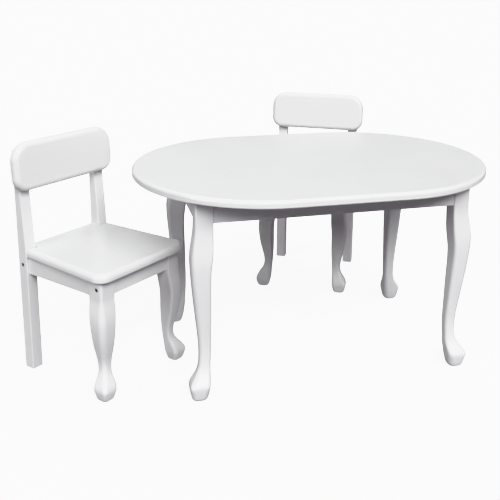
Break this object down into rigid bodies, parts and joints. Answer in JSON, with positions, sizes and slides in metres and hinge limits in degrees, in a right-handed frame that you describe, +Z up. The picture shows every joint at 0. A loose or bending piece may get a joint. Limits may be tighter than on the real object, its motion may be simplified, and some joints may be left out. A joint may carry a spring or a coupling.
{
  "type": "kids table and chairs",
  "caption": "Low oval table with cabriole legs and matching small chairs with rounded backrests, in white painted wood.",
  "frame": {"origin": "centre of the whole set's footprint box, on the floor", "axes": "+Z up, +X along the table's long side to the right seen from the front, +Y to the back"},
  "size_m": [1.1958, 0.9694, 0.5847],
  "materials": {
    "white_paint": "satin white paint on solid wood",
    "bare_wood": "planed pale softwood, unpainted",
    "zinc_steel": "bright zinc plate",
    "dark_steel": "blackened steel",
    "nylon_glide": "moulded nylon"
  },
  "bodies": {
    "table": {"table_apron_back": "white_paint", "table_apron_front": "white_paint", "table_apron_left": "white_paint", "table_apron_right": "white_paint", "table_bracket_screws": "zinc_steel", "table_cleat_back": "bare_wood", "table_cleat_front": "bare_wood", "table_cleat_left": "bare_wood", "table_cleat_right": "bare_wood", "table_corner_brackets": "zinc_steel", "table_foot_glides": "nylon_glide", "table_hanger_bolts": "zinc_steel", "table_leg_back_left": "white_paint", "table_leg_back_right": "white_paint", "table_leg_front_left": "white_paint", "table_leg_front_right": "white_paint", "table_leg_nuts": "zinc_steel", "table_top": "white_paint", "table_top_screws": "zinc_steel"},
    "chair_left": {"chair_left_apron_back": "white_paint", "chair_left_apron_front": "white_paint", "chair_left_apron_left": "white_paint", "chair_left_apron_right": "white_paint", "chair_left_backrest": "white_paint", "chair_left_backrest_screws": "zinc_steel", "chair_left_barrel_nuts": "zinc_steel", "chair_left_corner_blocks": "bare_wood", "chair_left_foot_glides": "nylon_glide", "chair_left_frame_bolts": "dark_steel", "chair_left_front_leg_left": "white_paint", "chair_left_front_leg_right": "white_paint", "chair_left_post_left": "white_paint", "chair_left_post_right": "white_paint", "chair_left_rail_dowels": "bare_wood", "chair_left_seat": "white_paint", "chair_left_seat_screws": "zinc_steel"},
    "chair_back": {"chair_back_apron_back": "white_paint", "chair_back_apron_front": "white_paint", "chair_back_apron_left": "white_paint", "chair_back_apron_right": "white_paint", "chair_back_backrest": "white_paint", "chair_back_backrest_screws": "zinc_steel", "chair_back_barrel_nuts": "zinc_steel", "chair_back_corner_blocks": "bare_wood", "chair_back_foot_glides": "nylon_glide", "chair_back_frame_bolts": "dark_steel", "chair_back_front_leg_left": "white_paint", "chair_back_front_leg_right": "white_paint", "chair_back_post_left": "white_paint", "chair_back_post_right": "white_paint", "chair_back_rail_dowels": "bare_wood", "chair_back_seat": "white_paint", "chair_back_seat_screws": "zinc_steel"}
  },
  "joints": [
    {"name": "chair_left_push_in", "type": "slide", "parent": "table", "child": "chair_left", "axis": [0.6455, -0.7638, 0], "range_m": [-0.3, 0.09]},
    {"name": "chair_back_push_in", "type": "slide", "parent": "table", "child": "chair_back", "axis": [-0.454, -0.891, 0], "range_m": [-0.3, 0.18]}
  ]
}
